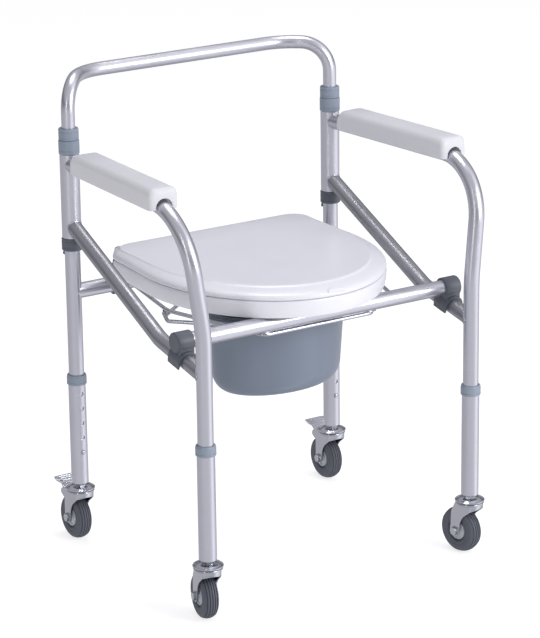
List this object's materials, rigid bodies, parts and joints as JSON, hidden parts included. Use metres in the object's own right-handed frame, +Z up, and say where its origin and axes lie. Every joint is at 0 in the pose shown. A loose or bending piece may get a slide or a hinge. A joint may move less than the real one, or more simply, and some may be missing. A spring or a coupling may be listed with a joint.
{
  "type": "wheeled commode chair",
  "caption": "Folding tube commode chair on castors, with telescopic legs, hinged side frames with arm pads, lift-off back hoop, lidded seat ring and hanging pail.",
  "frame": {"origin": "on the floor under the middle of the bounding box", "axes": "+X to the side that is on the right seen from the front, +Y to the back of the chair, +Z up"},
  "size_m": [0.5898, 0.5, 0.7951],
  "materials": {
    "aluminium": "satin anodised tube",
    "zinc_steel": "bright zinc plate",
    "collar_plastic": "satin grey-blue moulding",
    "dark_plastic": "satin dark grey moulding",
    "seat_plastic": "soft gloss pale grey moulding",
    "pad_plastic": "satin off-white moulding",
    "pail_plastic": "soft gloss grey-blue moulding",
    "tyre_rubber": "matt dark grey tread",
    "hub_plastic": "satin light grey moulding"
  },
  "bodies": {
    "rear_frame": {"rear_post_left": "aluminium", "rear_post_right": "aluminium", "rear_cross_tube": "aluminium", "pivot_collars": "dark_plastic", "post_collars": "collar_plastic", "collar_rivets": "dark_plastic"},
    "backrest": {"backrest_tube": "aluminium", "backrest_collars": "collar_plastic"},
    "side_left": {"sleeve_left": "aluminium", "arm_tube_left": "aluminium", "brace_left": "aluminium", "arm_pad_left": "pad_plastic"},
    "side_right": {"sleeve_right": "aluminium", "arm_tube_right": "aluminium", "brace_right": "aluminium", "arm_pad_right": "pad_plastic"},
    "seat_frame": {"front_crossbar": "aluminium", "bar_clip_left": "dark_plastic", "bar_clip_right": "dark_plastic", "side_rails": "zinc_steel", "pail_rack": "zinc_steel", "hinge_ears": "dark_plastic", "hinge_pins": "zinc_steel", "pail": "pail_plastic"},
    "ring": {"seat_ring": "seat_plastic"},
    "lid": {"seat_lid": "seat_plastic"},
    "leg_front_left": {"lower_leg_front_left": "aluminium", "leg_collar_front_left": "collar_plastic", "castor_stem_front_left": "zinc_steel"},
    "button_front_left": {"height_button_front_left": "zinc_steel"},
    "fork_front_left": {"castor_fork_front_left": "zinc_steel", "castor_axle_front_left": "zinc_steel"},
    "wheel_front_left": {"castor_hub_front_left": "hub_plastic", "castor_tyre_front_left": "tyre_rubber"},
    "leg_front_right": {"lower_leg_front_right": "aluminium", "leg_collar_front_right": "collar_plastic", "castor_stem_front_right": "zinc_steel"},
    "button_front_right": {"height_button_front_right": "zinc_steel"},
    "fork_front_right": {"castor_fork_front_right": "zinc_steel", "castor_axle_front_right": "zinc_steel"},
    "wheel_front_right": {"castor_hub_front_right": "hub_plastic", "castor_tyre_front_right": "tyre_rubber"},
    "leg_rear_left": {"lower_leg_rear_left": "aluminium", "leg_collar_rear_left": "collar_plastic", "castor_stem_rear_left": "zinc_steel"},
    "button_rear_left": {"height_button_rear_left": "zinc_steel"},
    "fork_rear_left": {"castor_fork_rear_left": "zinc_steel", "castor_axle_rear_left": "zinc_steel"},
    "wheel_rear_left": {"castor_hub_rear_left": "hub_plastic", "castor_tyre_rear_left": "tyre_rubber"},
    "brake_rear_left": {"brake_pedal_rear_left": "zinc_steel"},
    "leg_rear_right": {"lower_leg_rear_right": "aluminium", "leg_collar_rear_right": "collar_plastic", "castor_stem_rear_right": "zinc_steel"},
    "button_rear_right": {"height_button_rear_right": "zinc_steel"},
    "fork_rear_right": {"castor_fork_rear_right": "zinc_steel", "castor_axle_rear_right": "zinc_steel"},
    "wheel_rear_right": {"castor_hub_rear_right": "hub_plastic", "castor_tyre_rear_right": "tyre_rubber"},
    "brake_rear_right": {"brake_pedal_rear_right": "zinc_steel"}
  },
  "joints": [
    {"name": "backrest_lift", "type": "slide", "parent": "rear_frame", "child": "backrest", "axis": [0, 0, 1], "range_m": [0, 0.14]},
    {"name": "seat_fold", "type": "hinge", "parent": "rear_frame", "child": "seat_frame", "pos_m": [0, 0.18345, 0.435], "axis": [-1, 0, 0], "range_deg": [0, 84]},
    {"name": "ring_hinge", "type": "hinge", "parent": "seat_frame", "child": "ring", "pos_m": [0, 0.17195, 0.474], "axis": [-1, 0, 0], "range_deg": [0, 94.5]},
    {"name": "lid_hinge", "type": "hinge", "parent": "ring", "child": "lid", "pos_m": [0, 0.17195, 0.474], "axis": [1, 0, 0], "range_deg": [-94.5, 0]},
    {"name": "side_left_swing", "type": "hinge", "parent": "rear_frame", "child": "side_left", "pos_m": [-0.251, 0.18345, 0.6], "axis": [0, 0, 1], "range_deg": [-13.5, 0]},
    {"name": "side_right_swing", "type": "hinge", "parent": "rear_frame", "child": "side_right", "pos_m": [0.251, 0.18345, 0.6], "axis": [0, 0, 1], "range_deg": [0, 13.5]},
    {"name": "leg_slide_front_left", "type": "slide", "parent": "side_left", "child": "leg_front_left", "axis": [0, 0, -1], "range_m": [0, 0.1016], "deforming": ["height_button_front_left"]},
    {"name": "button_press_front_left", "type": "slide", "parent": "side_left", "child": "button_front_left", "axis": [0, -1, 0], "range_m": [0, 0.0038], "stiffness_N_per_m": 1500},
    {"name": "swivel_front_left", "type": "hinge", "parent": "leg_front_left", "child": "fork_front_left", "pos_m": [-0.251, -0.22555, 0.09], "axis": [0, 0, 1], "continuous": true},
    {"name": "wheel_roll_front_left", "type": "hinge", "parent": "fork_front_left", "child": "wheel_front_left", "pos_m": [-0.24757, -0.20788, 0.038], "axis": [0.9816, -0.1908, 0], "continuous": true},
    {"name": "leg_slide_front_right", "type": "slide", "parent": "side_right", "child": "leg_front_right", "axis": [0, 0, -1], "range_m": [0, 0.1016], "deforming": ["height_button_front_right"]},
    {"name": "button_press_front_right", "type": "slide", "parent": "side_right", "child": "button_front_right", "axis": [0, -1, 0], "range_m": [0, 0.0038], "stiffness_N_per_m": 1500},
    {"name": "swivel_front_right", "type": "hinge", "parent": "leg_front_right", "child": "fork_front_right", "pos_m": [0.251, -0.22555, 0.09], "axis": [0, 0, 1], "continuous": true},
    {"name": "wheel_roll_front_right", "type": "hinge", "parent": "fork_front_right", "child": "wheel_front_right", "pos_m": [0.24757, -0.20788, 0.038], "axis": [0.9816, 0.1908, 0], "continuous": true},
    {"name": "leg_slide_rear_left", "type": "slide", "parent": "rear_frame", "child": "leg_rear_left", "axis": [0, 0, -1], "range_m": [0, 0.1016], "deforming": ["height_button_rear_left"]},
    {"name": "button_press_rear_left", "type": "slide", "parent": "rear_frame", "child": "button_rear_left", "axis": [0, 1, 0], "range_m": [0, 0.0038], "stiffness_N_per_m": 1500},
    {"name": "swivel_rear_left", "type": "hinge", "parent": "leg_rear_left", "child": "fork_rear_left", "pos_m": [-0.251, 0.18345, 0.09], "axis": [0, 0, 1], "continuous": true},
    {"name": "wheel_roll_rear_left", "type": "hinge", "parent": "fork_rear_left", "child": "wheel_rear_left", "pos_m": [-0.251, 0.20145, 0.038], "axis": [1, 0, 0], "continuous": true},
    {"name": "brake_rear_left", "type": "hinge", "parent": "fork_rear_left", "child": "brake_rear_left", "pos_m": [-0.251, 0.21645, 0.08], "axis": [-1, 0, 0], "range_deg": [0, 7]},
    {"name": "leg_slide_rear_right", "type": "slide", "parent": "rear_frame", "child": "leg_rear_right", "axis": [0, 0, -1], "range_m": [0, 0.1016], "deforming": ["height_button_rear_right"]},
    {"name": "button_press_rear_right", "type": "slide", "parent": "rear_frame", "child": "button_rear_right", "axis": [0, 1, 0], "range_m": [0, 0.0038], "stiffness_N_per_m": 1500},
    {"name": "swivel_rear_right", "type": "hinge", "parent": "leg_rear_right", "child": "fork_rear_right", "pos_m": [0.251, 0.18345, 0.09], "axis": [0, 0, 1], "continuous": true},
    {"name": "wheel_roll_rear_right", "type": "hinge", "parent": "fork_rear_right", "child": "wheel_rear_right", "pos_m": [0.251, 0.20145, 0.038], "axis": [1, 0, 0], "continuous": true},
    {"name": "brake_rear_right", "type": "hinge", "parent": "fork_rear_right", "child": "brake_rear_right", "pos_m": [0.251, 0.21645, 0.08], "axis": [-1, 0, 0], "range_deg": [0, 7]}
  ],
  "couplings": [
    {"joint": "side_left_swing", "follows": "seat_fold", "ratio": -0.16},
    {"joint": "side_right_swing", "follows": "seat_fold", "ratio": 0.16}
  ]
}
